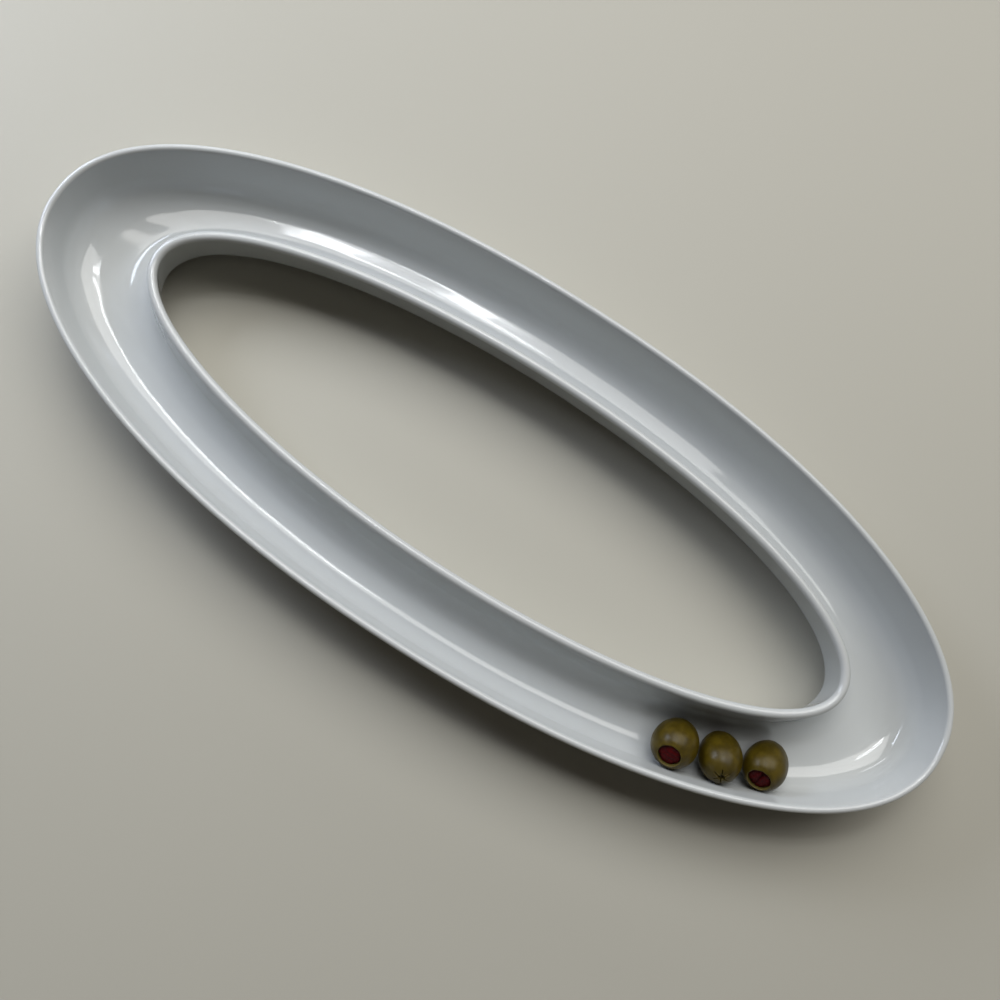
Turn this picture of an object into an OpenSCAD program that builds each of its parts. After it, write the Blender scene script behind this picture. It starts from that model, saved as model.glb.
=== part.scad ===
// Oval ring-shaped olive dish: one glazed porcelain trough that runs round an open middle, with
// three stuffed olives lying in it. Millimetres, +Z up. X runs along the dish's longer axis. The
// origin is at the middle of the footprint, on the surface that the dish stands on.

/* [Dish outline] */
// Length over the outer rim
dish_length = 400; // [330:1:480]
// Width over the outer rim
dish_width = 153; // [135:1:190]
// Height from the table to the top of both rims
dish_height = 30; // [27:0.5:38]
// Width of the ring at the middle of its long sides, over both rims
side_band = 35; // [33:0.5:42]
// Width of the ring at its two ends, over both rims
end_band = 47.6; // [42:0.2:56]
// Fullness of the outer oval, where 2 is a true ellipse and more is squarer
outer_fullness = 2.13; // [2:0.01:2.3]
// Fullness of the opening's oval
opening_fullness = 2; // [1.95:0.01:2.2]

/* [Dish section] */
// Thickness of the outer rim, which is rounded over
outer_rim = 2.8; // [2.2:0.1:3.6]
// Thickness of the rim round the opening, which is rounded over
opening_rim = 3.8; // [3:0.1:4.6]
// Lean of all four wall faces from upright, in degrees
draft = 9; // [6:0.5:11]
// Height of the trough's floor over the table
floor_height = 5; // [4:0.1:7]
// Radius of the hollow corner between the floor and a wall, as a share of the trough's width
trough_corner_share = 0.34; // [0.26:0.01:0.36]
// Radius of the outer corner between a wall and the underside
base_corner = 9; // [6:0.5:10]

/* [Foot] */
// Width of each of the two rings that the dish stands on
foot_width = 2.8; // [2:0.1:3.2]
// Depth of the hollow between the two foot rings
foot_depth = 1.2; // [0.6:0.1:1.8]
// Width of the slope from a foot ring up into the hollow
foot_slope = 0.9; // [0.4:0.1:1.2]

/* [Olives] */
// Direction that the outer rim faces where the middle olive lies, in degrees from the X axis
olives_facing = -71.7; // [-78:0.1:-55]
// Clearance between an olive and the trough
seat_gap = 0.3; // [0.2:0.05:0.6]
// Clearance between neighbouring olives, seen from above
olive_gap = 0.6; // [0.3:0.1:2]

/* [Left olive] */
// Diameter at the waist
left_diameter = 18.4; // [16:0.1:18.6]
// Length from the waist to the end that lies up
left_upper = 9.8; // [9:0.1:12]
// Length from the waist to the end that lies down
left_lower = 12.2; // [9:0.1:12.6]
// Rise of the upper end, in degrees from level
left_rise = 48; // [35:1:60]
// Turn of the upper end, in degrees from the way that the outer rim faces
left_turn = -30; // [-45:1:45]

/* [Middle olive] */
// Diameter at the waist
middle_diameter = 17; // [16:0.1:18.6]
// Length from the waist to the end that lies up
middle_upper = 11; // [9:0.1:12.6]
// Length from the waist to the end that lies down
middle_lower = 11.8; // [9:0.1:12.6]
// Rise of the upper end, in degrees from level
middle_rise = 50; // [35:1:60]
// Turn of the upper end, in degrees from the way that the outer rim faces
middle_turn = -8; // [-45:1:45]

/* [Right olive] */
// Diameter at the waist
right_diameter = 17.4; // [16:0.1:18.6]
// Length from the waist to the end that lies up
right_upper = 9.8; // [9:0.1:12]
// Length from the waist to the end that lies down
right_lower = 12.4; // [9:0.1:12.6]
// Rise of the upper end, in degrees from level
right_rise = 40; // [35:1:60]
// Turn of the upper end, in degrees from the way that the outer rim faces
right_turn = -38; // [-45:1:45]

/* [Stuffing] */
// Diameter of the hole that the stone came out of
bore_diameter = 8.6; // [6:0.1:9.6]
// Thickness of flesh left at the closed end of the hole
end_flesh = 5.5; // [4:0.1:8]
// Width of the bevel round the mouth of the hole
mouth_bevel = 0.5; // [0.2:0.1:0.8]
// Clearance between the pimento and the wall of the hole
stuffing_gap = 0.08; // [0.04:0.01:0.2]
// Depth of the pimento's crown below the mouth of the hole
stuffing_recess = 0.9; // [0.4:0.1:2]
// Height of the pimento's domed crown
crown_height = 1.8; // [1:0.1:3]
// Width of the fold between the pimento's two lobes
fold_width = 1.1; // [0.5:0.1:1.6]
// Depth of the fold below the crown
fold_depth = 1.5; // [0.8:0.1:2.5]
// Number of slits that cross at the closed end, where the stone was punched out
slit_count = 3; // [2:1:4]
// Length of each slit
slit_length = 7; // [4:0.1:9]
// Width of each slit
slit_width = 0.55; // [0.3:0.05:0.9]
// Depth of the slits below the olive's end
slit_depth = 1.7; // [1:0.1:2.5]
// Diameter of the small pit where the slits cross
pit_diameter = 1.9; // [1:0.1:2.6]

/* [Smoothness] */
// Sections round the ring, a multiple of four
ring_sections = 104; // [64:4:112]
// Straight steps in the upper half turn of each rim
rim_steps = 8; // [4:2:8]
// Straight steps in each corner of the section
corner_steps = 7; // [4:1:8]
// Straight steps in each half of an olive's outline
olive_steps = 16; // [8:1:24]

/* [Hidden] */
$fn = 64;
porcelain_colour = "#dfe4e6";
olive_colour = "#6b6320";
pimento_colour = "#7a1510";
overrun = 1;

// The olives are numbered from the left
left = 0;
middle = 1;
right = 2;
olive_diameters = [left_diameter, middle_diameter, right_diameter];
upper_lengths = [left_upper, middle_upper, right_upper];
lower_lengths = [left_lower, middle_lower, right_lower];
olive_rises = [left_rise, middle_rise, right_rise];
olive_turns = [left_turn, middle_turn, right_turn];

// Half-axes of the outer oval and of the opening's oval, both measured at the rims
outer_a = dish_length / 2;
outer_b = dish_width / 2;
opening_a = outer_a - end_band;
opening_b = outer_b - side_band;

// Point of an oval of half-axes a and b where the oval faces the direction given in degrees
function power(value, exponent) = sign(value) * pow(abs(value), exponent);
function oval_turn(a, b, fullness, facing) =
    let (e = fullness / (2 * (fullness - 1)))
    atan2(power(b * sin(facing), e), power(a * cos(facing), e));
function oval_point(a, b, fullness, facing) =
    let (turn = oval_turn(a, b, fullness, facing))
    [a * power(cos(turn), 2 / fullness), b * power(sin(turn), 2 / fullness)];
function outward(facing) = [cos(facing), sin(facing)];
function outer_point(facing) = oval_point(outer_a, outer_b, outer_fullness, facing);
function opening_point(facing) = oval_point(opening_a, opening_b, opening_fullness, facing);

// Width of the ring between two rim points that face the same way, and the sideways shift
// between them
function band(facing) = (outer_point(facing) - opening_point(facing)) * outward(facing);

// The section of the ring. Distances are taken from a rim's outermost line towards the other
// rim, so the same functions serve both walls. Every angle is taken from that direction.
function rim_centre(rim) = [rim / 2, dish_height - rim / 2];
function on_arc(centre, radius, angle) = centre + radius * [cos(angle), sin(angle)];
function arc_points(centre, radius, start, end, steps) =
    [for (i = [0 : steps]) on_arc(centre, radius, start + (end - start) * i / steps)];

// A rim's round passes through its outermost and its topmost point
function rim_points(rim) = concat(
    [on_arc(rim_centre(rim), rim / 2, 180 + draft)],
    arc_points(rim_centre(rim), rim / 2, 180, 180 / rim_steps, rim_steps - 1),
    [on_arc(rim_centre(rim), rim / 2, draft)]
);

// Centre of a corner of the given radius that touches the wall face through the point top,
// and a level face at the height base, on the side that the wall face leans to
function corner_centre(top, base, radius) =
    let (run = (top.y - base - radius * (1 - sin(draft))) / cos(draft))
    top + run * [sin(draft), -cos(draft)] + radius * [cos(draft), sin(draft)];
function trough_width(width) = width - outer_rim - opening_rim;
function trough_corner(width) =
    min(trough_corner_share * trough_width(width), dish_height - floor_height - outer_rim);
function trough_centre(rim, width) =
    corner_centre(on_arc(rim_centre(rim), rim / 2, draft), floor_height, trough_corner(width));
function base_centre(rim) =
    corner_centre(on_arc(rim_centre(rim), rim / 2, 180 + draft), 0, base_corner);

// One wall of the section, from the foot ring up over the rim and down to the trough's floor
function wall_points(rim, width) = concat(
    [[base_centre(rim).x + foot_width + foot_slope, foot_depth],
     [base_centre(rim).x + foot_width, 0]],
    arc_points(base_centre(rim), base_corner, 270, 180 + draft, corner_steps),
    rim_points(rim),
    arc_points(trough_centre(rim, width), trough_corner(width), 180 + draft, 270, corner_steps)
);

// The section where the ring faces one way: out from the opening's rim on one wall and in from
// the outer rim on the other, with the level floor and underside stretched between the two
function placed(start, direction, points) =
    [for (p = points) [start.x + direction.x * p.x, start.y + direction.y * p.x, p.y]];
function reversed(points) = [for (i = [len(points) - 1 : -1 : 0]) points[i]];
function section(facing) =
    let (width = band(facing))
    concat(
        placed(outer_point(facing), -outward(facing), wall_points(outer_rim, width)),
        reversed(placed(opening_point(facing), outward(facing), wall_points(opening_rim, width)))
    );

// Directions that the sections face: evenly spread round an ellipse half way across the ring
middle_a = (outer_a + opening_a) / 2;
middle_b = (outer_b + opening_b) / 2;
function section_facing(i) =
    let (turn = 360 * i / ring_sections)
    atan2(middle_a * sin(turn), middle_b * cos(turn));

// A closed ring through the sections
module ring(sections) {
    count = len(sections);
    size = len(sections[0]);
    points = [for (s = sections) each s];
    faces = [
        for (i = [0 : count - 1], j = [0 : size - 1])
            let (
                next_i = (i + 1) % count,
                next_j = (j + 1) % size
            )
            each [
                [i * size + j, next_i * size + next_j, next_i * size + j],
                [i * size + j, i * size + next_j, next_i * size + next_j]
            ]
    ];
    polyhedron(points = points, faces = faces, convexity = 10);
}

module dish() {
    color(porcelain_colour)
        ring([for (i = [0 : ring_sections - 1]) section(section_facing(i))]);
}

// How the olives lie. An olive is two half ellipsoids on one round waist. Its reach is how far
// it goes from the middle of its waist in a direction, once turned to lie along its own axis.
function olive_axis(k, facing) =
    let (turn = facing + olive_turns[k])
    [cos(olive_rises[k]) * cos(turn), cos(olive_rises[k]) * sin(turn), sin(olive_rises[k])];
function reach(k, facing, direction) =
    let (
        along = olive_axis(k, facing) * direction,
        half_length = along > 0 ? upper_lengths[k] : lower_lengths[k],
        waist = olive_diameters[k] / 2
    )
    sqrt(pow(half_length * along, 2) + pow(waist, 2) * (1 - along * along));
function level_height(k, facing) = floor_height + seat_gap + reach(k, facing, [0, 0, -1]);

// Least distance from the outer rim's edge at which the olive clears the outer wall, found by
// holding it off each of the directions that the hollow corner faces
steepest_lean = 80;
lean_directions =
    [for (i = [0 : corner_steps]) draft + (steepest_lean - draft) * i / corner_steps];
function lean_distance(k, facing) =
    let (
        width = band(facing),
        centre = trough_centre(outer_rim, width),
        height = level_height(k, facing)
    )
    max([
        for (fall = lean_directions)
            let (
                out = outward(facing),
                direction = [out.x * cos(fall), out.y * cos(fall), -sin(fall)],
                spare = trough_corner(width) - reach(k, facing, direction) - seat_gap
            )
            centre.x - (spare + (height - centre.y) * sin(fall)) / cos(fall)
    ]);
function olive_place(k, facing) =
    let (
        edge = outer_point(facing),
        spot = edge - outward(facing) * lean_distance(k, facing)
    )
    [spot.x, spot.y, level_height(k, facing)];

// Room left between two olives, seen from above
function level_room(k, facing, other, other_facing) =
    let (
        step = olive_place(other, other_facing) - olive_place(k, facing),
        distance = norm([step.x, step.y]),
        way = [step.x, step.y, 0] / distance
    )
    distance - reach(k, facing, way) - reach(other, other_facing, -way);

// Direction faced by the neighbour's place, found by halving the span between near and far
function neighbour_facing(k, near, far, halvings = 24) =
    let (half = (near + far) / 2)
    halvings == 0 ? half
    : level_room(k, half, middle, olives_facing) < olive_gap
        ? neighbour_facing(k, half, far, halvings - 1)
        : neighbour_facing(k, near, half, halvings - 1);
search_span = 40;
facings = [
    neighbour_facing(left, olives_facing, olives_facing - search_span),
    olives_facing,
    neighbour_facing(right, olives_facing, olives_facing + search_span)
];
places = [for (k = [left, middle, right]) olive_place(k, facings[k])];

// The left and right olives lie with the stuffed end up, and the middle one with it down
stuffed_up = [true, false, true];
// Spin of each olive about its own axis, in degrees
olive_spins = [10, 15, 100];

module laid(k) {
    translate(places[k])
        rotate([0, 90 - olive_rises[k], facings[k] + olive_turns[k]])
            rotate([stuffed_up[k] ? 0 : 180, 0, olive_spins[k]])
                children();
}

// Sizes of an olive in its own frame, with its waist at zero and its stuffed end up
function waist(k) = olive_diameters[k] / 2;
function mouth_length(k) = stuffed_up[k] ? upper_lengths[k] : lower_lengths[k];
function tail_length(k) = stuffed_up[k] ? lower_lengths[k] : upper_lengths[k];
bore = bore_diameter / 2;
function mouth_height(k) = mouth_length(k) * sqrt(1 - pow((bore + mouth_bevel) / waist(k), 2));
function bore_floor(k) = end_flesh - tail_length(k);

module olive(k) {
    mouth_angle = acos((bore + mouth_bevel) / waist(k));
    tail = [
        for (i = [0 : olive_steps - 1])
            let (angle = -90 + 90 * i / olive_steps)
            [waist(k) * cos(angle), tail_length(k) * sin(angle)]
    ];
    head = [
        for (i = [0 : olive_steps])
            let (angle = mouth_angle * i / olive_steps)
            [waist(k) * cos(angle), mouth_length(k) * sin(angle)]
    ];
    hole = [
        [bore, mouth_height(k) - mouth_bevel],
        [bore, bore_floor(k)],
        [0, bore_floor(k)]
    ];
    color(olive_colour)
        laid(k)
            difference() {
                rotate_extrude()
                    polygon(concat(tail, head, hole));
                slits(k);
            }
}

// Slits that cross at the closed end, with a small round pit where they meet
module slits(k) {
    translate([0, 0, slit_depth - tail_length(k)])
        mirror([0, 0, 1]) {
            for (i = [0 : slit_count - 1])
                rotate([0, 0, 180 * i / slit_count])
                    translate([-slit_length / 2, -slit_width / 2, 0])
                        cube([slit_length, slit_width, slit_depth + overrun]);
            cylinder(d = pit_diameter, h = slit_depth + overrun);
        }
}

// A folded strip of pimento: a domed plug with a fold across its crown
module pimento(k) {
    radius = bore - stuffing_gap;
    base = bore_floor(k) + stuffing_gap;
    top = mouth_height(k) - stuffing_recess;
    dome_radius = (pow(radius, 2) + pow(crown_height, 2)) / (2 * crown_height);
    dome_angle = asin(radius / dome_radius);
    dome = [
        for (i = [0 : olive_steps])
            let (angle = 90 - dome_angle * (1 - i / olive_steps))
            [dome_radius * cos(angle), top - dome_radius * (1 - sin(angle))]
    ];
    color(pimento_colour)
        laid(k)
            difference() {
                rotate_extrude()
                    polygon(concat([[0, base], [radius, base]], dome));
                translate([0, 0, top])
                    rotate([90, 0, 0])
                        linear_extrude(bore_diameter + overrun, center = true)
                            polygon([
                                [-fold_width / 2, overrun],
                                [0, -fold_depth],
                                [fold_width / 2, overrun]
                            ]);
            }
}

module olive_left() {
    olive(left);
}

module olive_middle() {
    olive(middle);
}

module olive_right() {
    olive(right);
}

module pimento_left() {
    pimento(left);
}

module pimento_middle() {
    pimento(middle);
}

module pimento_right() {
    pimento(right);
}

dish();
olive_left();
olive_middle();
olive_right();
pimento_left();
pimento_middle();
pimento_right();
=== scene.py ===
"""Ring dish of glazed porcelain with three stuffed olives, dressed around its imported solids.

Every shape is a surface worked out on a grid of two parameters, in metres, in the frame of the
solids: +X along the dish, towards the end that the olives lie near, and +Z up.
"""
import math

import bpy
import numpy as np
from mathutils import Matrix, Vector


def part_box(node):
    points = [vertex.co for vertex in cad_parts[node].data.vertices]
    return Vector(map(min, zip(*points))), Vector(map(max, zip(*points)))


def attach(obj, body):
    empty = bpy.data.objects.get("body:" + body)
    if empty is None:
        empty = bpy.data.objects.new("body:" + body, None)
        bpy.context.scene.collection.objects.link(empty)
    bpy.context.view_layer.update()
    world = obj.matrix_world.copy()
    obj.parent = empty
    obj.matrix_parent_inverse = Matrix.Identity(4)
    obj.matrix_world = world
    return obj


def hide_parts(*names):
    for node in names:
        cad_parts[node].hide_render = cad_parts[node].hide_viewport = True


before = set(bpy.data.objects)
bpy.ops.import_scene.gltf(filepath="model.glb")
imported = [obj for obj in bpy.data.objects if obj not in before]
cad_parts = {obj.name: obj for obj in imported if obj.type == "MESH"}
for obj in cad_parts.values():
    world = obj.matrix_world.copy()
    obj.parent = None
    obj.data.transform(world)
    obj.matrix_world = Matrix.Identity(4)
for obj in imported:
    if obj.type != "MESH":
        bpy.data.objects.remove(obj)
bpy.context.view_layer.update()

bl_info = {
    "name": "Ring dish with stuffed olives",
    "version": (1, 0, 0),
    "blender": (4, 5, 0),
    "location": "View3D > Sidebar > Ring Dish",
    "description": "Builds a porcelain ring dish, stuffed olives and a plain stage",
    "category": "Add Mesh",
}

MM = 0.001

# The three olives, named by their place in the trough. Diameter and half lengths are in
# millimetres, upper and lower as the olive lies. Heading and rise are the direction of its
# upper end, and spin is its turn about its own axis, in degrees. Cleft is how far its pimento
# folds, from 0 to 1, and seed starts the random draws for its lobes and edges.
OLIVES = {
    "left": dict(diameter=18.4, upper=9.8, lower=12.2, heading=-105.87, rise=48.0,
                 spin=10.0, mouth_up=True, cleft=0.1, seed=3),
    "middle": dict(diameter=17.0, upper=11.0, lower=11.8, heading=-79.7, rise=50.0,
                   spin=15.0, mouth_up=False, cleft=0.5, seed=7),
    "right": dict(diameter=17.4, upper=9.8, lower=12.4, heading=-104.27, rise=40.0,
                  spin=100.0, mouth_up=True, cleft=1.0, seed=12),
}


# Colours and shader nodes

def linear(code):
    """Linear red, green, blue and alpha of a colour written as an sRGB hex value."""
    levels = [int(code[i:i + 2], 16) / 255 for i in (1, 3, 5)]
    return tuple(v / 12.92 if v <= 0.04045 else ((v + 0.055) / 1.055) ** 2.4
                 for v in levels) + (1.0,)


def opaque(colour):
    """A setting's red, green and blue, with full alpha."""
    return tuple(colour) + (1.0,)


# Sockets of the Mix node by their place, since colours and numbers have the same names there
MIX_FACTOR, MIX_NUMBER_A, MIX_NUMBER_B, MIX_NUMBER_RESULT = 0, 2, 3, 0
MIX_COLOUR_A, MIX_COLOUR_B, MIX_COLOUR_RESULT = 6, 7, 2


def node(tree, kind, sockets=None, **settings):
    """Adds a node with its settings; each socket is given a value or an output to link."""
    made = tree.nodes.new(kind)
    for key, value in settings.items():
        setattr(made, key, value)
    for key, value in (sockets or {}).items():
        if isinstance(value, bpy.types.NodeSocket):
            tree.links.new(value, made.inputs[key])
        else:
            made.inputs[key].default_value = value
    return made


def blank_material(name):
    """An empty node material with this name, made anew."""
    material = bpy.data.materials.get(name) or bpy.data.materials.new(name)
    material.use_nodes = True
    material.node_tree.nodes.clear()
    return material, material.node_tree


def finish_material(tree, surface):
    """Links the finished shader to the material's output."""
    node(tree, "ShaderNodeOutputMaterial", {"Surface": surface})


def noise(tree, place, grain, detail=2.0, roughness=0.5):
    """Soft noise whose blotches are about grain millimetres across."""
    return node(tree, "ShaderNodeTexNoise",
                {"Vector": place, "Scale": 1 / (grain * MM), "Detail": detail,
                 "Roughness": roughness}).outputs["Fac"]


def span(tree, value, low, high, to_low=0.0, to_high=1.0):
    """Value mapped smoothly from low..high to to_low..to_high, and held at the ends."""
    return node(tree, "ShaderNodeMapRange",
                {"Value": value, "From Min": low, "From Max": high,
                 "To Min": to_low, "To Max": to_high},
                interpolation_type="SMOOTHSTEP").outputs["Result"]


def blend_colours(tree, factor, first, second):
    """First colour where the factor is 0 and the second where it is 1."""
    mixed = node(tree, "ShaderNodeMix",
                 {MIX_FACTOR: factor, MIX_COLOUR_A: first, MIX_COLOUR_B: second},
                 data_type="RGBA")
    return mixed.outputs[MIX_COLOUR_RESULT]


def blend_numbers(tree, factor, first, second):
    """First number where the factor is 0 and the second where it is 1."""
    mixed = node(tree, "ShaderNodeMix",
                 {MIX_FACTOR: factor, MIX_NUMBER_A: first, MIX_NUMBER_B: second},
                 data_type="FLOAT")
    return mixed.outputs[MIX_NUMBER_RESULT]


def cells(tree, place, spacing):
    """Distance to the nearest of scattered points about spacing millimetres apart."""
    return node(tree, "ShaderNodeTexVoronoi",
                {"Vector": place, "Scale": 1 / (spacing * MM)}).outputs["Distance"]


def product(tree, first, second):
    """Two values multiplied."""
    return node(tree, "ShaderNodeMath", {0: first, 1: second},
                operation="MULTIPLY").outputs["Value"]


def porcelain(colours):
    """Glazed porcelain: cast body, dipped in clear glaze and fired, with a bare ground foot."""
    # To the eye: a cool white body under a glassy coat that mirrors lamps as sharp streaks. The
    # coat thins over the rims, where the body looks warmer, and the foot is matt and gritty.
    # Sizes are in millimetres; real grit is finer and is drawn as coarse as it needs to show.
    clouds, gloss_drift, glaze_ripples, foot_grit, speck_spacing = 60.0, 18.0, 9.0, 0.5, 13.0
    rim_fade, bare_height, bare_end = 1.6, 0.25, 0.55
    material, tree = blank_material("glazed porcelain")
    place = node(tree, "ShaderNodeTexCoord").outputs["Object"]
    height = node(tree, "ShaderNodeSeparateXYZ", {"Vector": place}).outputs["Z"]
    body = blend_colours(tree, noise(tree, place, clouds), opaque(colours.porcelain_light),
                         opaque(colours.porcelain_deep))
    rim_thinning = span(tree, height, colours.rim_level - rim_fade * MM, colours.rim_level,
                        0.0, 0.45)
    body = blend_colours(tree, rim_thinning, body, opaque(colours.rim))
    speck = span(tree, cells(tree, place, speck_spacing), 0.012, 0.022, 0.35, 0.0)
    body = blend_colours(tree, speck, body, linear("#8d8577"))
    bare = span(tree, height, bare_height * MM, bare_end * MM, 1.0, 0.0)
    grit = noise(tree, place, foot_grit, 3.0, 0.7)
    bisque = blend_colours(tree, grit, linear("#d8cfbd"), linear("#b9ad97"))
    body = blend_colours(tree, bare, body, bisque)
    glaze = span(tree, noise(tree, place, gloss_drift), 0.3, 0.7, 0.055, 0.085)
    roughness = blend_numbers(tree, bare, glaze, 0.75)
    ripple = node(tree, "ShaderNodeBump",
                  {"Strength": 0.25, "Distance": 0.06 * MM,
                   "Height": noise(tree, place, glaze_ripples)})
    grain = node(tree, "ShaderNodeBump",
                 {"Strength": product(tree, bare, 0.6), "Distance": 0.1 * MM, "Height": grit,
                  "Normal": ripple.outputs["Normal"]})
    shader = node(tree, "ShaderNodeBsdfPrincipled",
                  {"Base Color": body, "Roughness": roughness, "IOR": 1.52,
                   "Normal": grain.outputs["Normal"]})
    finish_material(tree, shader.outputs["BSDF"])
    return material


def olive_skin(colours):
    """Green olive in brine: waxy wet skin with pale pores, and paler flesh where it is cut."""
    # To the eye: brownish green that drifts from olive to khaki, a broad wet shine broken by
    # faint dimples, and matt tan flesh round the mouth and in the slits. Sizes are in
    # millimetres; real pores are finer and are drawn as coarse as they need to show.
    tone_drift, shine_drift, skin_dimples, flesh_fibre, pore_spacing = 5.0, 2.2, 0.9, 0.7, 0.85
    material, tree = blank_material("brined olive")
    place = node(tree, "ShaderNodeAttribute", attribute_name="olive_place").outputs["Vector"]
    cut = node(tree, "ShaderNodeAttribute", attribute_name="cut_flesh").outputs["Fac"]
    tail = node(tree, "ShaderNodeAttribute", attribute_name="darker_tail_and_pit_shade").outputs["Fac"]
    drift = span(tree, noise(tree, place, tone_drift, 3.0, 0.55), 0.35, 0.65)
    skin = blend_colours(tree, drift, opaque(colours.olive_deep), opaque(colours.olive_light))
    # Darker and browner towards the tail, and painted shade down in the pit at the tail's end
    skin = blend_colours(tree, product(tree, tail, 0.5), skin, linear("#272004"))
    pore = span(tree, cells(tree, place, pore_spacing), 0.08, 0.2, 0.22, 0.0)
    skin = blend_colours(tree, pore, skin, linear("#625624"))
    fibre = noise(tree, place, flesh_fibre, 3.0, 0.6)
    flesh = blend_colours(tree, fibre, opaque(colours.flesh), linear("#493e19"))
    colour = blend_colours(tree, cut, skin, flesh)
    shine = span(tree, noise(tree, place, shine_drift), 0.3, 0.7, 0.3, 0.42)
    roughness = blend_numbers(tree, cut, shine, 0.5)
    dimples = node(tree, "ShaderNodeBump",
                   {"Strength": 0.35, "Distance": 0.05 * MM,
                    "Height": noise(tree, place, skin_dimples, 2.0)})
    shader = node(tree, "ShaderNodeBsdfPrincipled",
                  {"Base Color": colour, "Roughness": roughness, "IOR": 1.38,
                   "Specular IOR Level": 0.3,
                   "Subsurface Weight": 0.08, "Subsurface Radius": (2 * MM, 1.4 * MM, 0.5 * MM),
                   "Subsurface Scale": 1.0, "Coat Weight": 0.06, "Coat Roughness": 0.25,
                   "Coat IOR": 1.34, "Normal": dimples.outputs["Normal"]})
    finish_material(tree, shader.outputs["BSDF"])
    return material


def pimento_flesh(colours):
    """Brined red pepper: a soft strip, folded and pushed in, wet with finely wrinkled skin."""
    # To the eye: deep red, with painted shade down in the fold, and a soft wet shine along its
    # creases.
    # Sizes are in millimetres.
    tone_drift, skin_wrinkles = 2.5, 0.8
    material, tree = blank_material("brined red pimento")
    place = node(tree, "ShaderNodeAttribute", attribute_name="olive_place").outputs["Vector"]
    fold = node(tree, "ShaderNodeAttribute", attribute_name="fold_shade").outputs["Fac"]
    drift = span(tree, noise(tree, place, tone_drift, 3.0, 0.6), 0.3, 0.7)
    red = blend_colours(tree, drift, opaque(colours.pimento_deep), opaque(colours.pimento_light))
    # Painted shade down in the fold's groove
    red = blend_colours(tree, product(tree, fold, 0.8), red, linear("#260304"))
    wrinkles = node(tree, "ShaderNodeBump",
                    {"Strength": 0.45, "Distance": 0.08 * MM,
                     "Height": noise(tree, place, skin_wrinkles, 3.0, 0.6)})
    shader = node(tree, "ShaderNodeBsdfPrincipled",
                  {"Base Color": red, "Roughness": 0.45, "IOR": 1.38,
                   "Specular IOR Level": 0.12,
                   "Subsurface Weight": 0.1, "Subsurface Radius": (2 * MM, 0.5 * MM, 0.4 * MM),
                   "Subsurface Scale": 1.0, "Coat Weight": 0.04, "Coat Roughness": 0.15,
                   "Coat IOR": 1.34, "Normal": wrinkles.outputs["Normal"]})
    finish_material(tree, shader.outputs["BSDF"])
    return material


def table_top(stage):
    """Matt laminate, pressed: pale and plain."""
    # To the eye: an even dull surface whose tone drifts faintly over about 350 millimetres.
    tone_drift = 350.0
    material, tree = blank_material("matt laminate")
    place = node(tree, "ShaderNodeTexCoord").outputs["Object"]
    drift = noise(tree, place, tone_drift, 1.0)
    colour = blend_colours(tree, drift, opaque(stage.floor_light), opaque(stage.floor_deep))
    shader = node(tree, "ShaderNodeBsdfPrincipled",
                  {"Base Color": colour, "Roughness": 0.55, "IOR": 1.45,
                   "Specular IOR Level": 0.3})
    finish_material(tree, shader.outputs["BSDF"])
    return material


# Surfaces

def signed_power(values, exponent):
    """Each value's size raised to the exponent, with its sign kept."""
    return np.sign(values) * np.abs(values) ** exponent


def oval_points(half_x, half_y, fullness, facing):
    """Points of an oval whose outward direction has the angle facing.

    The oval is |x / half_x| ^ fullness + |y / half_y| ^ fullness = 1. With share = fullness /
    (2 (fullness - 1)), the turn is the angle of ((half_x cos facing) ^ share, (half_y sin
    facing) ^ share), and the point is half_x cos(turn) ^ (2 / fullness), half_y sin(turn) ^
    (2 / fullness), all powers keeping their signs.
    """
    share = fullness / (2 * (fullness - 1))
    turn = np.arctan2(signed_power(half_y * np.sin(facing), share),
                      signed_power(half_x * np.cos(facing), share))
    return np.stack((half_x * signed_power(np.cos(turn), 2 / fullness),
                     half_y * signed_power(np.sin(turn), 2 / fullness)), axis=-1)


def arc(centre, radius, start, end, count):
    """Points on an arc from start to end, in radians: centre + radius (cos, sin)."""
    angle = np.linspace(start, end, count)
    return (centre[0][:, None] + radius[:, None] * np.cos(angle),
            centre[1][:, None] + radius[:, None] * np.sin(angle))


def steps(start, end, count):
    """Evenly spaced values from start, which is left out, up to end."""
    return np.linspace(start, end, count + 1)[1:]


def inner_shares(count):
    """Evenly spaced shares between 0 and 1, both left out."""
    return np.linspace(0, 1, count + 2)[1:-1]


def between(first, last, count):
    """Evenly spaced points inside the straight line from one point to another."""
    share = inner_shares(count)
    return tuple(a[:, None] + (b - a)[:, None] * share for a, b in zip(first, last))


# How many points each stretch of the ring's cross-section has
RING_POINTS = dict(hollow=22, trough_wall=8, rim=19, outside=9, base=16, foot=2, slope=5,
                   floor=5, underside=4)


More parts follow.
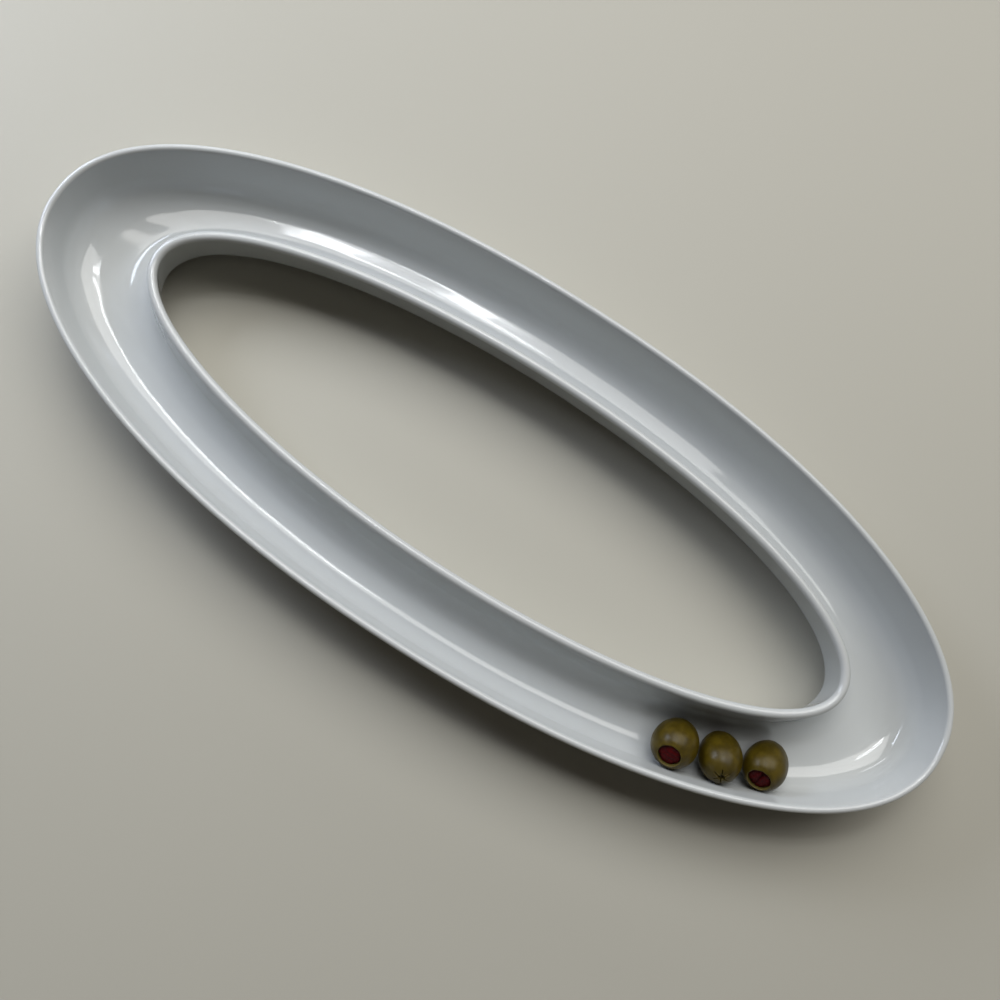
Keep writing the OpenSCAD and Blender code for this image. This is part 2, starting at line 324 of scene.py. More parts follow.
def wall_profile(sizes, rim, corner):
    """Half of the ring's cross-section, for every section at once, from floor to foot.

    Each point has a distance inwards from the wall's outside edge and a height. The path runs
    up the trough's hollow corner, a quarter arc of radius corner less the wall's lean, up the
    leaning wall, over the rim, a half circle as thick as the rim, down the outside, round the
    base corner, along the foot and up its slope, half a cosine wave, to the underside.
    """
    lean = sizes.draft
    same = np.ones(len(corner))
    across = np.array([math.cos(lean), math.sin(lean)])
    down = np.array([math.sin(lean), -math.cos(lean)])
    rim_centre = (same * rim / 2, same * (sizes.height - rim / 2))

    def corner_centre(top, base, radius):
        run = (top[1] - base - radius * (1 - math.sin(lean))) / math.cos(lean)
        return tuple(top[i] + run * down[i] + radius * across[i] for i in (0, 1))

    trough_top = tuple(rim_centre[i] + rim / 2 * across[i] for i in (0, 1))
    outside_top = tuple(rim_centre[i] - rim / 2 * across[i] for i in (0, 1))
    hollow = corner_centre(trough_top, sizes.floor_height, corner)
    base_radius = same * sizes.base_corner
    base = corner_centre(outside_top, 0.0, base_radius)
    wall_bottom, lowest = math.pi + lean, 1.5 * math.pi
    hollow_arc = arc(hollow, corner, lowest, wall_bottom, RING_POINTS["hollow"])
    base_arc = arc(base, base_radius, wall_bottom, lowest, RING_POINTS["base"])
    foot_start = (base[0], same * 0.0)
    foot_end = (base[0] + sizes.foot_width, same * 0.0)
    rise = steps(0, 1, RING_POINTS["slope"])
    slope = (foot_end[0][:, None] + sizes.foot_slope * rise,
             same[:, None] * sizes.foot_depth * (1 - np.cos(math.pi * rise)) / 2)
    parts = [
        hollow_arc,
        between((hollow_arc[0][:, -1], hollow_arc[1][:, -1]), trough_top,
                RING_POINTS["trough_wall"]),
        arc(rim_centre, same * rim / 2, lean, wall_bottom, RING_POINTS["rim"]),
        between(outside_top, (base_arc[0][:, 0], base_arc[1][:, 0]), RING_POINTS["outside"]),
        base_arc,
        between(foot_start, foot_end, RING_POINTS["foot"]),
        (foot_end[0][:, None], foot_end[1][:, None]),
        slope,
    ]
    return tuple(np.concatenate([part[i] for part in parts], axis=1) for i in (0, 1))


def ring_surface(sizes, sections=512):
    """The whole dish as a closed ring of cross-sections, sections x points x 3.

    At each facing, the outer oval's and the opening's points that face the same way are paired.
    The outer half of the cross-section is laid inwards from the outer point and the opening's
    half outwards from the opening's point, with the floor and the underside stretched between.
    """
    turn = np.linspace(0, 2 * math.pi, sections, endpoint=False)
    half_x, half_y = sizes.length / 2, sizes.width / 2
    open_x, open_y = half_x - sizes.end_band, half_y - sizes.side_band
    facing = np.arctan2((half_x + open_x) * np.sin(turn), (half_y + open_y) * np.cos(turn))
    outward = np.stack((np.cos(facing), np.sin(facing)), axis=-1)
    outer = oval_points(half_x, half_y, sizes.outer_fullness, facing)
    opening = oval_points(open_x, open_y, sizes.opening_fullness, facing)
    band = np.sum((outer - opening) * outward, axis=1)
    corner = np.minimum(sizes.corner_share * (band - sizes.outer_rim - sizes.opening_rim),
                        sizes.height - sizes.floor_height - sizes.outer_rim)

    def placed(edge, direction, profile):
        inwards, up = profile
        flat = edge[:, None, :] + direction[:, None, :] * inwards[:, :, None]
        return np.concatenate((flat, up[:, :, None]), axis=2)

    outer_half = placed(outer, -outward, wall_profile(sizes, sizes.outer_rim, corner))
    open_half = placed(opening, outward, wall_profile(sizes, sizes.opening_rim, corner))
    open_half = open_half[:, ::-1]

    def bridge(first, last, count):
        share = inner_shares(count)[None, :, None]
        return first[:, None, :] * (1 - share) + last[:, None, :] * share

    floor = bridge(open_half[:, -1], outer_half[:, 0], RING_POINTS["floor"])
    underside = bridge(outer_half[:, -1], open_half[:, 0], RING_POINTS["underside"])
    return np.concatenate((outer_half, underside, open_half, floor), axis=1), turn


def grid_normals(grid):
    """Unit normals of a grid that closes on itself both ways, from its central differences."""
    along = np.roll(grid, -1, axis=0) - np.roll(grid, 1, axis=0)
    across = np.roll(grid, -1, axis=1) - np.roll(grid, 1, axis=1)
    normal = np.cross(across, along)
    return normal / np.linalg.norm(normal, axis=2, keepdims=True)


# Long waves in the dish's surface: times round the ring, times over the section, and start
# in radians
DISH_WAVES = ((7, 1, 0.4), (12, 2, 2.1), (19, 3, 4.0), (29, 1, 5.2))


def hand_made(grid, turn, swell):
    """The dish's surface with the slight unevenness of a cast and glazed piece.

    Each point moves along its normal by swell times the mean of four long waves round the ring,
    each also running across the section. The waves fade out below 4 mm, so that the foot
    stays level, and near the rims' tops, so that the height stays true.
    """
    foot_height, foot_fade, rim_fade = 1.5 * MM, 2.5 * MM, 3 * MM
    rows = np.linspace(0, 2 * math.pi, grid.shape[1], endpoint=False)
    waves = np.zeros(grid.shape[:2])
    for round_ring, over_section, start in DISH_WAVES:
        wave = np.sin(round_ring * turn[:, None] + over_section * rows[None, :] + start)
        waves += wave / len(DISH_WAVES)
    height = grid[:, :, 2]
    fade = np.clip((height - foot_height) / foot_fade, 0, 1)
    fade *= np.clip((height.max() - height) / rim_fade, 0, 1)
    return grid + grid_normals(grid) * (swell * waves * fade)[:, :, None]


def smooth_step(value, low, high):
    """0 below low and 1 above high, eased between as 3 s^2 - 2 s^3."""
    share = np.clip((value - low) / (high - low), 0, 1)
    return share * share * (3 - 2 * share)


def olive_ends(olive, sizes):
    """Waist radius, half lengths to the mouth and to the tail, and the mouth's height."""
    waist = olive["diameter"] / 2 * MM
    upper, lower = olive["upper"] * MM, olive["lower"] * MM
    mouth, tail = (upper, lower) if olive["mouth_up"] else (lower, upper)
    lip = sizes.bore_diameter / 2 + sizes.mouth_bevel
    return waist, mouth, tail, mouth * math.sqrt(1 - (lip / waist) ** 2)


# How many rings of points each stretch of an olive has, from its tail to the bore's wall
OLIVE_ROWS = dict(slits=43, tail=45, head=43, lip=8, bore=14)


def olive_surface(olive, sizes, columns=288):
    """An olive in its own frame, waist at zero and mouth up, rows x columns x 3, with masks.

    A row's radius and height follow half an ellipse from the tail to the waist and another to
    the mouth, then a rounded lip, the bore's wall and its floor. The skin sinks between shallow
    lobes, three cosines of the angle, and in creases that run out of the tail, a cosine whose
    angle sways by a sine. At the tail, slits that cross at the axis go in along it by depth
    (1 - (distance / half width)^4) and a pit meets them, with lips that swell beside. Crumbs of
    flesh lie on the lips where two sines of the angle add up.
    """
    waist, mouth, tail, mouth_height = olive_ends(olive, sizes)
    bore, bevel = sizes.bore_diameter / 2, sizes.mouth_bevel
    lip = bore + bevel
    lobe_depth, crease_depth = 0.010, 0.012  # as shares of the radius
    lobes_start = 3 * MM
    lip_sink, lip_wave, lip_reach = 0.1 * MM, 0.12 * MM, 1.2 * MM
    slit_swell, slit_edge, past_slits = 0.10 * MM, 0.05 * MM, 0.6 * MM
    theta = np.linspace(0, 2 * math.pi, columns, endpoint=False)

    near = steps(0, sizes.slit_length / 2 + past_slits, OLIVE_ROWS["slits"])
    tail_radius = np.concatenate((near, waist * np.sin(steps(
        math.asin(near[-1] / waist), math.pi / 2, OLIVE_ROWS["tail"]))))
    tail_rise = -tail * np.sqrt(np.clip(1 - (tail_radius / waist) ** 2, 0, 1))
    head_angle = steps(0, math.acos(lip / waist), OLIVE_ROWS["head"])
    quarter = steps(0, math.pi / 2, OLIVE_ROWS["lip"])
    floor = sizes.end_flesh - tail
    floor_rings = bore * np.array([0.7, 0.35])
    radius = np.concatenate((
        tail_radius, waist * np.cos(head_angle), lip - bevel * np.sin(quarter),
        np.full(OLIVE_ROWS["bore"], bore), floor_rings))
    rise = np.concatenate((
        tail_rise, mouth * np.sin(head_angle), mouth_height - bevel * (1 - np.cos(quarter)),
        steps(mouth_height - bevel, floor, OLIVE_ROWS["bore"]), np.full(2, floor)))
    skin_rows = len(tail_radius) + len(head_angle)
    is_skin = (np.arange(len(radius)) < skin_rows).astype(float)

    rng = np.random.default_rng(olive["seed"])
    starts = rng.uniform(0, 2 * math.pi, 6)
    lobes = sum(np.cos(k * theta + s) for k, s in zip((2, 3, 5), starts)) / 3
    tail_share = smooth_step(-rise, 0.2 * tail, tail)
    creases = np.cos(11 * theta + starts[3] + 1.5 * np.sin(3 * theta)) / 2 + 0.5
    sink = lobe_depth * (1 - lobes[None, :]) / 2
    sink = sink + crease_depth * (tail_share[:, None] * creases[None, :])
    off_pole = np.minimum(radius[:, None] / lobes_start, 1.0)
    wide = radius[:, None] * (1 - is_skin[:, None] * sink * off_pole)
    x, y = wide * np.cos(theta), wide * np.sin(theta)
    ragged = lip_wave * np.sin(5 * theta + starts[4]) * np.sin(3 * theta + starts[5])
    lip_mask = smooth_step(rise, mouth_height - lip_reach, mouth_height)[:, None]
    z = np.repeat(rise[:, None], columns, axis=1) + lip_mask * (ragged - lip_sink)

    # The slits: each is turned a little out of true, fades out over its last parts, where it
    # narrows to tip_width of its width, and has lips at lip_place half widths from its middle
    from_tail = (np.arange(len(radius)) < len(tail_radius))[:, None]
    half_width = sizes.slit_width / 2
    askew, fade_start, tip_width, lip_place, lip_width = 0.05, 0.35, 0.45, 1.8, 0.9
    depth = np.zeros_like(z)
    swelling = np.zeros_like(z)
    for i in range(sizes.slit_count):
        angle = math.pi * i / sizes.slit_count + askew * math.sin(starts[i])
        away = np.abs(-x * math.sin(angle) + y * math.cos(angle))
        run = np.abs(x * math.cos(angle) + y * math.sin(angle))
        ends = 1 - smooth_step(run, fade_start * sizes.slit_length, sizes.slit_length / 2)
        taper = half_width * (tip_width + (1 - tip_width) * ends)
        open_share = np.clip(1 - (away / taper) ** 4, 0, 1)
        depth = np.maximum(depth, sizes.slit_depth * ends * open_share)
        lips = np.exp(-((away / half_width - lip_place) / lip_width) ** 2)
        swelling = np.maximum(swelling, ends * lips)
    pit_radius = sizes.pit_diameter / 2
    pit = 1 - smooth_step(np.hypot(x, y), 0.6 * pit_radius, pit_radius)
    depth = np.maximum(depth, sizes.slit_depth * pit) * from_tail
    z = z + depth - slit_swell * swelling * (depth < slit_edge) * from_tail

    # The masks: pale flesh where the olive is cut, but not down in the pit, which keeps the
    # skin's colour so that its painted shade shows
    cut = np.maximum(smooth_step(depth, 0.12 * MM, 0.4 * MM), 1 - is_skin[:, None])
    crumbs = np.sin(9 * theta + starts[5]) + np.sin(17 * theta + starts[2])
    crumbs = smooth_step(crumbs, 0.1, 0.9)[None, :]
    cut = np.maximum(cut, 0.9 * swelling * from_tail * crumbs)
    cut = cut * (1 - 0.9 * pit * from_tail)
    # Darker skin towards the tail, and painted shade over the pit where the slits cross
    darker_tail_and_pit_shade = np.maximum(smooth_step(-z, 0.55 * tail, tail), pit) * from_tail
    grid = np.stack((x, y, z), axis=2)
    poles = np.array([[0, 0, -tail + sizes.slit_depth], [0, 0, floor]])
    masks = {"cut_flesh": (cut, (0.1, 1.0)), "darker_tail_and_pit_shade": (darker_tail_and_pit_shade, (1.0, 0.0))}
    return grid, poles, masks


def pimento_surface(olive, sizes, columns=224):
    """A folded strip of pimento in the olive's own frame, rows x columns x 3, with masks.

    The plug's side is straight and its crown a shallow dome with a rounded shoulder. A fold
    crosses the crown along Y as a groove of Gaussian section, wandering by a sine, and pulls
    the plug's side in where it comes out, by a Gaussian of the angle. The strip's cut edge is
    ragged by three sines of the angle, and fine wrinkles run beside the fold as sines of X.
    """
    tail, mouth_height = olive_ends(olive, sizes)[2:]
    radius = sizes.bore_diameter / 2 - sizes.stuffing_gap
    base = sizes.end_flesh - tail + sizes.stuffing_gap
    top = mouth_height - sizes.stuffing_recess
    edge = top - sizes.crown_height
    dome = (radius ** 2 + sizes.crown_height ** 2) / (2 * sizes.crown_height)
    side_rows, base_rings, crown_rings = 14, [0.5, 0.97], 39  # rings as shares of the radius
    shoulder, shoulder_drop, loose_length = 0.7 * MM, 0.2 * MM, 3 * MM
    wander, wander_wave = 0.25 * MM, 1.6 * MM
    wrinkle, wrinkle_wave, wrinkle_bend = 0.07 * MM, 0.32 * MM, 1.3 * MM
    theta = np.linspace(0, 2 * math.pi, columns, endpoint=False)
    crown = np.linspace(0.985, 0, crown_rings + 1)[:-1]
    reach = np.concatenate((base_rings, np.ones(side_rows), crown))
    rise = np.concatenate(([base, base], steps(base, edge, side_rows),
                           top - dome + np.sqrt(dome ** 2 - (radius * crown) ** 2)))
    on_crown = (np.arange(len(reach)) >= len(base_rings) + side_rows).astype(float)[:, None]

    rng = np.random.default_rng(olive["seed"] + 40)
    starts = rng.uniform(0, 2 * math.pi, 4)
    from_fold = np.angle(np.exp(1j * (theta - math.pi / 2)))
    from_far_end = np.angle(np.exp(1j * (theta + math.pi / 2)))
    notch = 0.34 * np.exp(-(from_fold / 0.3) ** 2) + 0.1 * np.exp(-(from_far_end / 0.2) ** 2)
    notch = olive["cleft"] * notch
    ragged = sum(np.sin(k * theta + start) for k, start in zip((4, 7, 13), starts)) / 3
    ripple = 0.2 * (1 + ragged) / 2
    near_top = smooth_step(rise, edge - loose_length, edge)[:, None]
    wide = radius * reach[:, None] * (1 - near_top * (notch + ripple))
    x, y = wide * np.cos(theta), wide * np.sin(theta)
    z = np.repeat(rise[:, None], columns, axis=1)
    away = x - wander * np.sin(y / wander_wave + starts[1])
    groove = np.exp(-(away / (0.42 * sizes.fold_width)) ** 2)
    groove *= 0.55 + 0.45 * smooth_step(y, -radius, 0.4 * radius)
    wrinkles = wrinkle * np.sin(x / wrinkle_wave + 1.2 * np.sin(y / wrinkle_bend + starts[2]))
    fold = sizes.fold_depth * olive["cleft"]
    z = z + on_crown * (wrinkles - wrinkle - fold * groove)
    z -= on_crown * shoulder_drop * smooth_step(np.hypot(x, y), radius - shoulder, radius)
    grid = np.stack((x, y, z), axis=2)
    poles = np.array([[0, 0, base], [0, 0, z[-1].mean()]])
    # Painted shade along the fold's groove on the crown
    shade = groove * on_crown * olive["cleft"]
    return grid, poles, {"fold_shade": (shade, (0.0, shade[-1].mean()))}


# Meshes

def ring_faces(rows, columns, closed):
    """Four-sided faces between neighbouring rows and columns of a grid.

    Columns always close on themselves; rows only where closed is true. Point (r, c) has the
    index r columns + c.
    """
    last = rows if closed else rows - 1
    row = np.arange(last)[:, None]
    column = np.arange(columns)[None, :]
    here = row * columns + column
    right = row * columns + (column + 1) % columns
    above = (row + 1) % rows * columns + column
    beyond = (row + 1) % rows * columns + (column + 1) % columns
    return np.stack((here, right, beyond, above), axis=-1).reshape(-1, 4)


def put_in_mesh(name, points, faces, material, masks=None):
    """A smooth shaded object at the origin from an array of points and lists of faces."""
    mesh = bpy.data.meshes.new(name)
    mesh.from_pydata(points.tolist(), [], faces)
    for mask, values in (masks or {}).items():
        kind, field = ("FLOAT_VECTOR", "vector") if values.ndim == 2 else ("FLOAT", "value")
        layer = mesh.attributes.new(mask, kind, "POINT")
        layer.data.foreach_set(field, values.astype(np.float32).ravel())
    mesh.polygons.foreach_set("use_smooth", np.ones(len(mesh.polygons), dtype=bool))
    mesh.materials.append(material)
    mesh.update()
    if mesh.validate():
        raise RuntimeError(f"{name}: the mesh has faulty faces")
    made = bpy.data.objects.new(name, mesh)
    bpy.context.scene.collection.objects.link(made)
    return made


def capped(name, grid, poles, masks, place, material):
    """A closed piece from rows of rings, with a fan of triangles to a point at each end."""
    rows, columns = grid.shape[:2]
    own = np.concatenate((grid.reshape(-1, 3), poles))
    first, last = rows * columns, rows * columns + 1
    column = np.arange(columns)
    after = (column + 1) % columns
    end_row = (rows - 1) * columns
    low = np.stack((np.full(columns, first), after, column), axis=1)
    high = np.stack((np.full(columns, last), end_row + column, end_row + after), axis=1)
    values = {mask: np.concatenate((inner.ravel(), ends))
              for mask, (inner, ends) in masks.items()}
    values["olive_place"] = own
    turn = np.array(place.to_3x3())
    points = own @ turn.T + np.array(place.translation)
    faces = ring_faces(rows, columns, False).tolist() + low.tolist() + high.tolist()
    return put_in_mesh(name, points, faces, material, values)


def olive_reach(olive, direction):
    """How far an olive goes from its waist's middle in a direction.

    With along the cosine between the direction and the axis, it is the root of (half length
    along)^2 + (waist radius)^2 (1 - along^2).
    """
    along = float(olive_axis(olive).dot(Vector(direction)))
    half_length = olive["upper"] if along > 0 else olive["lower"]
    return MM * math.hypot(half_length * along,
                           olive["diameter"] / 2 * math.sqrt(1 - along * along))


def olive_axis(olive):
    """Direction of the olive's upper end."""
    heading, rise = math.radians(olive["heading"]), math.radians(olive["rise"])
    return Vector((math.cos(rise) * math.cos(heading), math.cos(rise) * math.sin(heading),
                   math.sin(rise)))


def olive_place(name):
    """Where an olive lies: its solid's box gives the middle of its waist.

    Its uncut sides reach the box's low Z, high Y and, on average, both sides in X.
    """
    olive = OLIVES[name]
    low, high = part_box(f"olive_{name}")
    middle_x = (low[0] + olive_reach(olive, (-1, 0, 0)) + high[0]
                - olive_reach(olive, (1, 0, 0))) / 2
    middle = Vector((middle_x, high[1] - olive_reach(olive, (0, 1, 0)),
                     low[2] + olive_reach(olive, (0, 0, -1))))
    tip = math.radians(90 - olive["rise"])
    return (Matrix.Translation(middle)
            @ Matrix.Rotation(math.radians(olive["heading"]), 4, "Z")
            @ Matrix.Rotation(tip, 4, "Y")
            @ Matrix.Rotation(math.radians(olive["spin"]), 4, "Z")
            @ Matrix.Rotation(0 if olive["mouth_up"] else math.pi, 4, "X"))


# Settings

def length(name, about, default):
    """A length up to a metre, with its default given in millimetres."""
    return bpy.props.FloatProperty(name=name, description=about, default=default * MM,
                                   min=0.0, max=1.0, unit="LENGTH", subtype="DISTANCE",
                                   precision=4)


def tint(name, about, code):
    """A colour given as an sRGB hex value."""
    return bpy.props.FloatVectorProperty(name=name, description=about, size=3, min=0, max=1,
                                         default=linear(code)[:3], subtype="COLOR")


class RINGDISH_PG_dish(bpy.types.PropertyGroup):
    """Sizes of the porcelain ring."""
    length: length("Length", "Over the outer rim, along the dish", 400)
    width: length("Width", "Over the outer rim, across the dish", 153)
    height: length("Height", "From the table to the rims' tops", 30)
    end_band: length("End band", "From outer edge to opening at the two ends", 47.6)
    side_band: length("Side band", "From outer edge to opening at the two sides", 35)
    outer_fullness: bpy.props.FloatProperty(
        name="Outer fullness", description="2 is an ellipse and more is fuller", default=2.13)
    opening_fullness: bpy.props.FloatProperty(
        name="Opening fullness", description="2 is an ellipse and more is fuller", default=2.0)
    outer_rim: length("Outer rim", "Thickness of the outer rim", 2.8)
    opening_rim: length("Opening rim", "Thickness of the rim round the opening", 3.8)
    draft: bpy.props.FloatProperty(
        name="Draft", description="Lean of the walls, which a mould needs",
        default=math.radians(9), unit="ROTATION", subtype="ANGLE")
    floor_height: length("Floor height", "From the table to the trough's floor", 5)
    corner_share: bpy.props.FloatProperty(
        name="Corner share", description="Hollow corner's radius over the trough's width",
        default=0.34, min=0.1, max=0.45)
    base_corner: length("Base corner", "Radius of the outside's lower corner", 9)
    foot_width: length("Foot width", "Width of each level foot ring", 2.8)
    foot_depth: length("Foot depth", "From the foot up to the underside", 1.2)
    foot_slope: length("Foot slope", "Width of the slope beside each foot ring", 0.9)
    swell: length("Swell", "Height of the unevenness left by casting and glazing", 0.09)


class RINGDISH_PG_olives(bpy.types.PropertyGroup):
    """Sizes that the three olives and their strips of pimento share."""
    bore_diameter: length("Bore", "Width of the hole that the stone left", 9.0)
    end_flesh: length("End flesh", "Flesh left at the closed end", 5.5)
    mouth_bevel: length("Mouth bevel", "Rounding of the mouth's lip", 0.3)
    stuffing_gap: length("Stuffing gap", "Room round the pimento", 0.08)
    stuffing_recess: length("Recess", "From the mouth down to the pimento", 0.3)
    crown_height: length("Crown", "Rise of the pimento's dome", 0.8)
    fold_width: length("Fold width", "Width of the fold across the pimento", 1.1)
    fold_depth: length("Fold depth", "Depth of the fold", 0.6)
    slit_count: bpy.props.IntProperty(
        name="Slits", description="Slits that cross at the closed end", default=3, min=1)
    slit_length: length("Slit length", "From end to end of a slit", 7)
    slit_width: length("Slit width", "Width of a slit", 0.55)
    slit_depth: length("Slit depth", "Depth of a slit", 1.7)
    pit_diameter: length("Pit", "Width of the pit where the slits cross", 2.7)


class RINGDISH_PG_colours(bpy.types.PropertyGroup):
    """Colours of the finishes."""
    porcelain_light: tint("Porcelain, light", "Lighter tone of the glazed body", "#c1c4c4")
    porcelain_deep: tint("Porcelain, deep", "Deeper tone of the glazed body", "#bdc0c0")
    rim: tint("Rim", "Body where the glaze thins over the rims", "#bbbcba")
    rim_level: length("Rim level", "Height above which the glaze is thin", 30)
    olive_deep: tint("Olive, deep", "Deeper tone of the olive's skin", "#3b3005")
    olive_light: tint("Olive, light", "Lighter tone of the olive's skin", "#4d400a")
    flesh: tint("Cut flesh", "Flesh round the mouth and in the slits", "#5f552b")
    pimento_deep: tint("Pimento, deep", "Deeper tone of the pimento", "#330306")
    pimento_light: tint("Pimento, light", "Lighter tone of the pimento", "#4b0709")


class RINGDISH_PG_stage(bpy.types.PropertyGroup):
    """The table, the lamps and the camera."""
    floor_light: tint("Floor, light", "Lighter tone of the table", "#b2afa4")
    floor_deep: tint("Floor, deep", "Deeper tone of the table", "#aeaba0")
    room: tint("Room", "Colour of the light from all round", "#fff0dc")
    room_level: bpy.props.FloatProperty(
        name="Room level", description="Strength of the light from all round", default=0.035)
    backdrop: tint("Backdrop", "Colour seen beyond the table", "#f2f0ea")
    backdrop_level: bpy.props.FloatProperty(
        name="Backdrop level", default=0.45,
        description="Strength of the backdrop where it is seen or mirrored")
    camera_place: bpy.props.FloatVectorProperty(
        name="Camera place", description="Where the camera stands", size=3,
        default=(0.0019, -0.0726, 0.3869), unit="LENGTH", subtype="TRANSLATION")
    camera_angle: bpy.props.FloatProperty(
        name="Camera angle", description="Angle of view across the picture",
        default=math.radians(55), unit="ROTATION", subtype="ANGLE")


# Operators

class RINGDISH_OT_dish(bpy.types.Operator):
    """Builds the porcelain ring over its solid"""
    bl_idname = "ring_dish.dish"
    bl_label = "Porcelain ring"

    def execute(self, context):
        sizes = context.scene.ring_dish_sizes
        grid, turn = ring_surface(sizes)
        grid = hand_made(grid, turn, sizes.swell)
        faces = ring_faces(*grid.shape[:2], True).tolist()
        made = put_in_mesh("ring_dish", grid.reshape(-1, 3), faces,
                           porcelain(context.scene.ring_dish_colours))
        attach(made, "dish")
        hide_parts("dish")
        return {"FINISHED"}


class RINGDISH_OT_olives(bpy.types.Operator):
    """Builds the three olives over their solids"""
    bl_idname = "ring_dish.olives"
    bl_label = "Olives"

    def execute(self, context):
        sizes = context.scene.ring_dish_olives
        material = olive_skin(context.scene.ring_dish_colours)
        for name, olive in OLIVES.items():
            grid, poles, masks = olive_surface(olive, sizes)
            made = capped(f"stuffed_olive_{name}", grid, poles, masks, olive_place(name),
                          material)
            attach(made, f"{name}_olive")
            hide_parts(f"olive_{name}")
        return {"FINISHED"}


class RINGDISH_OT_pimentos(bpy.types.Operator):
    """Builds the folded strips of pimento over their solids"""
    bl_idname = "ring_dish.pimentos"
    bl_label = "Pimentos"

    def execute(self, context):
        sizes = context.scene.ring_dish_olives
        material = pimento_flesh(context.scene.ring_dish_colours)
        for name, olive in OLIVES.items():
            grid, poles, masks = pimento_surface(olive, sizes)
            made = capped(f"pimento_strip_{name}", grid, poles, masks, olive_place(name),
                          material)
            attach(made, f"{name}_olive")
            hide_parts(f"pimento_{name}")
        return {"FINISHED"}


# The lamps: azimuth and elevation of each, seen from the dish, in degrees, its distance, width
# and height in metres, its power in watts and its colour. The ceiling gives nearly all the
# light, and the strips draw the streaks in the glaze.
LAMPS = {
    "ceiling": dict(azimuth=100, elevation=54, distance=2.2, width=2.86, height=1.5,
                    power=51.0, colour="#fffefb"),
    "window": dict(azimuth=170, elevation=30, distance=0.8, width=0.28, height=0.28,
                   power=3.0, colour="#e2ecff"),
    "upper_strip": dict(azimuth=121, elevation=68, distance=1.6, width=0.58, height=0.04,
                        power=1.5, colour="#f8fbff"),
    "lower_strip": dict(azimuth=121, elevation=64, distance=1.6, width=0.58, height=0.04,
                        power=1.5, colour="#f8fbff"),
    "low_strip": dict(azimuth=132, elevation=19, distance=1.6, width=0.6, height=0.08,
                      power=1.2, colour="#f8fbff"),
}


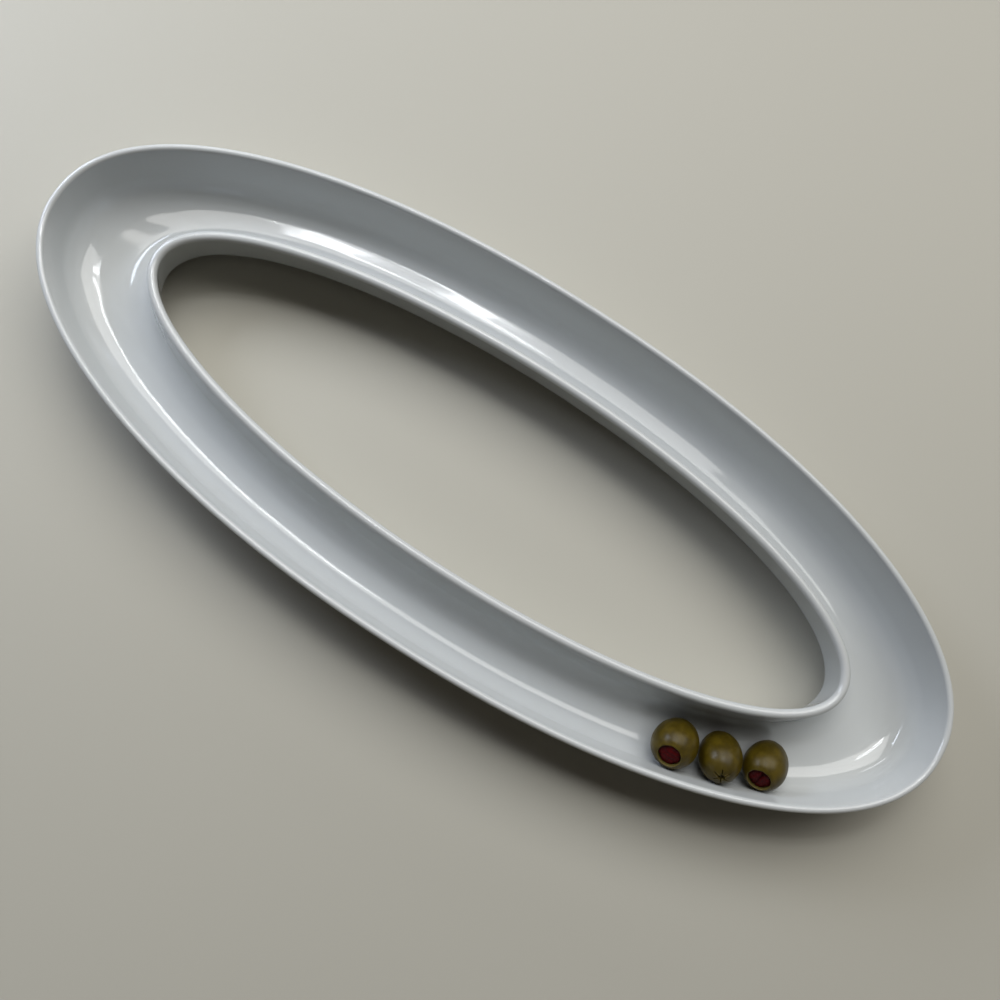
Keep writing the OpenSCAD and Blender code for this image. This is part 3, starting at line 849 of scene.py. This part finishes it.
class RINGDISH_OT_stage(bpy.types.Operator):
    """Lays the table and sets the lamps, the room's light and the camera"""
    bl_idname = "ring_dish.stage"
    bl_label = "Stage"

    def execute(self, context):
        scene = context.scene
        stage = scene.ring_dish_stage
        self.lay_table(stage)
        for name, lamp in LAMPS.items():
            self.hang_lamp(name, lamp)
        scene.world = self.light_room(stage)
        scene.view_settings.view_transform = "Standard"
        self.set_camera(scene, stage)
        return {"FINISHED"}

    def light_room(self, stage):
        """A faint light from all round, and a pale backdrop where it is seen or mirrored."""
        world = bpy.data.worlds.new("room")
        world.use_nodes = True
        tree = world.node_tree
        tree.nodes.clear()
        rays = node(tree, "ShaderNodeLightPath").outputs
        seen = rays["Is Camera Ray"]
        for kind in ("Is Glossy Ray", "Is Transmission Ray"):
            seen = node(tree, "ShaderNodeMath", {0: seen, 1: rays[kind]},
                        operation="MAXIMUM").outputs["Value"]
        level = span(tree, seen, 0.0, 1.0, stage.room_level, stage.backdrop_level)
        colour = blend_colours(tree, seen, opaque(stage.room), opaque(stage.backdrop))
        glow = node(tree, "ShaderNodeBackground", {"Color": colour, "Strength": level})
        node(tree, "ShaderNodeOutputWorld", {"Surface": glow.outputs["Background"]})
        return world

    def lay_table(self, stage):
        """A level square a hair's breadth under the foot, so that the two faces never mix."""
        half, height = 1.7, -0.05 * MM
        points = np.array([(-half, -half, height), (half, -half, height),
                           (half, half, height), (-half, half, height)])
        made = put_in_mesh("table", points, [[0, 1, 2, 3]], table_top(stage))

    def hang_lamp(self, name, lamp):
        """A rectangular lamp that faces the dish's middle."""
        light = bpy.data.lights.new(name, "AREA")
        light.shape = "RECTANGLE"
        light.size, light.size_y = lamp["width"], lamp["height"]
        light.energy = lamp["power"]
        light.color = linear(lamp["colour"])[:3]
        azimuth, elevation = math.radians(lamp["azimuth"]), math.radians(lamp["elevation"])
        away = Vector((math.cos(elevation) * math.cos(azimuth),
                       math.cos(elevation) * math.sin(azimuth), math.sin(elevation)))
        made = bpy.data.objects.new(name, light)
        made.location = away * lamp["distance"]
        made.rotation_euler = away.to_track_quat("Z", "Y").to_matrix().to_euler()
        made.visible_camera = False
        bpy.context.scene.collection.objects.link(made)

    def set_camera(self, scene, stage):
        """The photograph's view: nearly straight down, with the dish's length aslant."""
        lens = bpy.data.cameras.new("view")
        lens.sensor_fit = "HORIZONTAL"
        lens.sensor_width = 36.0
        lens.angle = stage.camera_angle
        made = bpy.data.objects.new("view", lens)
        made.matrix_world = (Matrix.Translation(Vector(stage.camera_place))
                             @ self.camera_turn().to_4x4())
        scene.collection.objects.link(made)
        scene.camera = made

    def camera_turn(self):
        """Turn from the camera's axes to the dish's: about Z, then tilted off straight down."""
        turn, tilt_x, tilt_y = 0.569, -0.144, -0.102  # in radians
        level = Matrix(((math.cos(turn), -math.sin(turn), 0),
                        (math.sin(turn), math.cos(turn), 0),
                        (0, 0, 1)))
        amount = math.hypot(tilt_x, tilt_y)
        tilt = Matrix.Rotation(amount, 3, Vector((tilt_x, tilt_y, 0)).normalized())
        flip = Matrix(((1, 0, 0), (0, -1, 0), (0, 0, -1)))
        return (flip @ tilt @ level @ flip).transposed()


class RINGDISH_PT_panel(bpy.types.Panel):
    """Lists the pieces and the stage"""
    bl_idname = "RINGDISH_PT_panel"
    bl_label = "Ring Dish"
    bl_space_type = "VIEW_3D"
    bl_region_type = "UI"
    bl_category = "Ring Dish"

    def draw(self, context):
        for operator in OPERATORS:
            self.layout.operator(operator.bl_idname)
        for group in PROPERTIES:
            settings = getattr(context.scene, group)
            box = self.layout.box()
            for key in settings.bl_rna.properties.keys():
                if key not in {"rna_type", "name"}:
                    box.prop(settings, key)


OPERATORS = (RINGDISH_OT_dish, RINGDISH_OT_olives, RINGDISH_OT_pimentos, RINGDISH_OT_stage)
PROPERTIES = {
    "ring_dish_sizes": RINGDISH_PG_dish,
    "ring_dish_olives": RINGDISH_PG_olives,
    "ring_dish_colours": RINGDISH_PG_colours,
    "ring_dish_stage": RINGDISH_PG_stage,
}
CLASSES = tuple(PROPERTIES.values()) + OPERATORS + (RINGDISH_PT_panel,)


def register():
    for made in CLASSES:
        bpy.utils.register_class(made)
    for name, group in PROPERTIES.items():
        setattr(bpy.types.Scene, name, bpy.props.PointerProperty(type=group))


def unregister():
    for name in PROPERTIES:
        delattr(bpy.types.Scene, name)
    for made in reversed(CLASSES):
        bpy.utils.unregister_class(made)


def main():
    """Builds every piece and the stage."""
    register()
    bpy.ops.ring_dish.dish()
    bpy.ops.ring_dish.olives()
    bpy.ops.ring_dish.pimentos()
    bpy.ops.ring_dish.stage()


if __name__ == "__main__":
    main()
